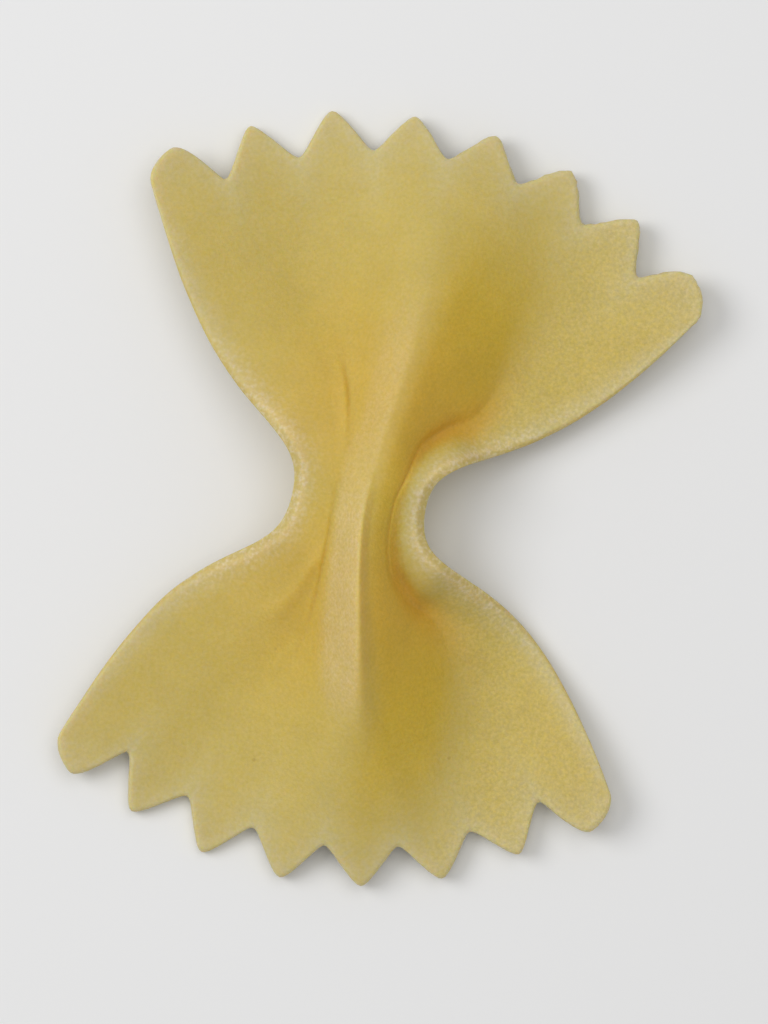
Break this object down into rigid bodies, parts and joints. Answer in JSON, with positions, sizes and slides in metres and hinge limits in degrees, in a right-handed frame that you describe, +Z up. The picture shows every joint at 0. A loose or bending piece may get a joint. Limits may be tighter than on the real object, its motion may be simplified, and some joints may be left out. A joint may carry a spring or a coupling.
{
  "type": "dried bow-tie pasta piece",
  "caption": "Large dried bow-tie pasta: a thin sheet of wheat dough with zigzag cut ends, pinched at the waist into a crest between two valleys.",
  "frame": {"origin": "centre of the piece's footprint, on the surface it lies on", "axes": "+Y along the bow from wing to wing, +Z up out of the table, the pinched waist across X"},
  "size_m": [0.0384, 0.0524, 0.0088],
  "materials": {
    "durum_dough": "matte, fine-grained"
  },
  "bodies": {
    "root": {"farfallone": "durum_dough"}
  },
  "joints": []
}
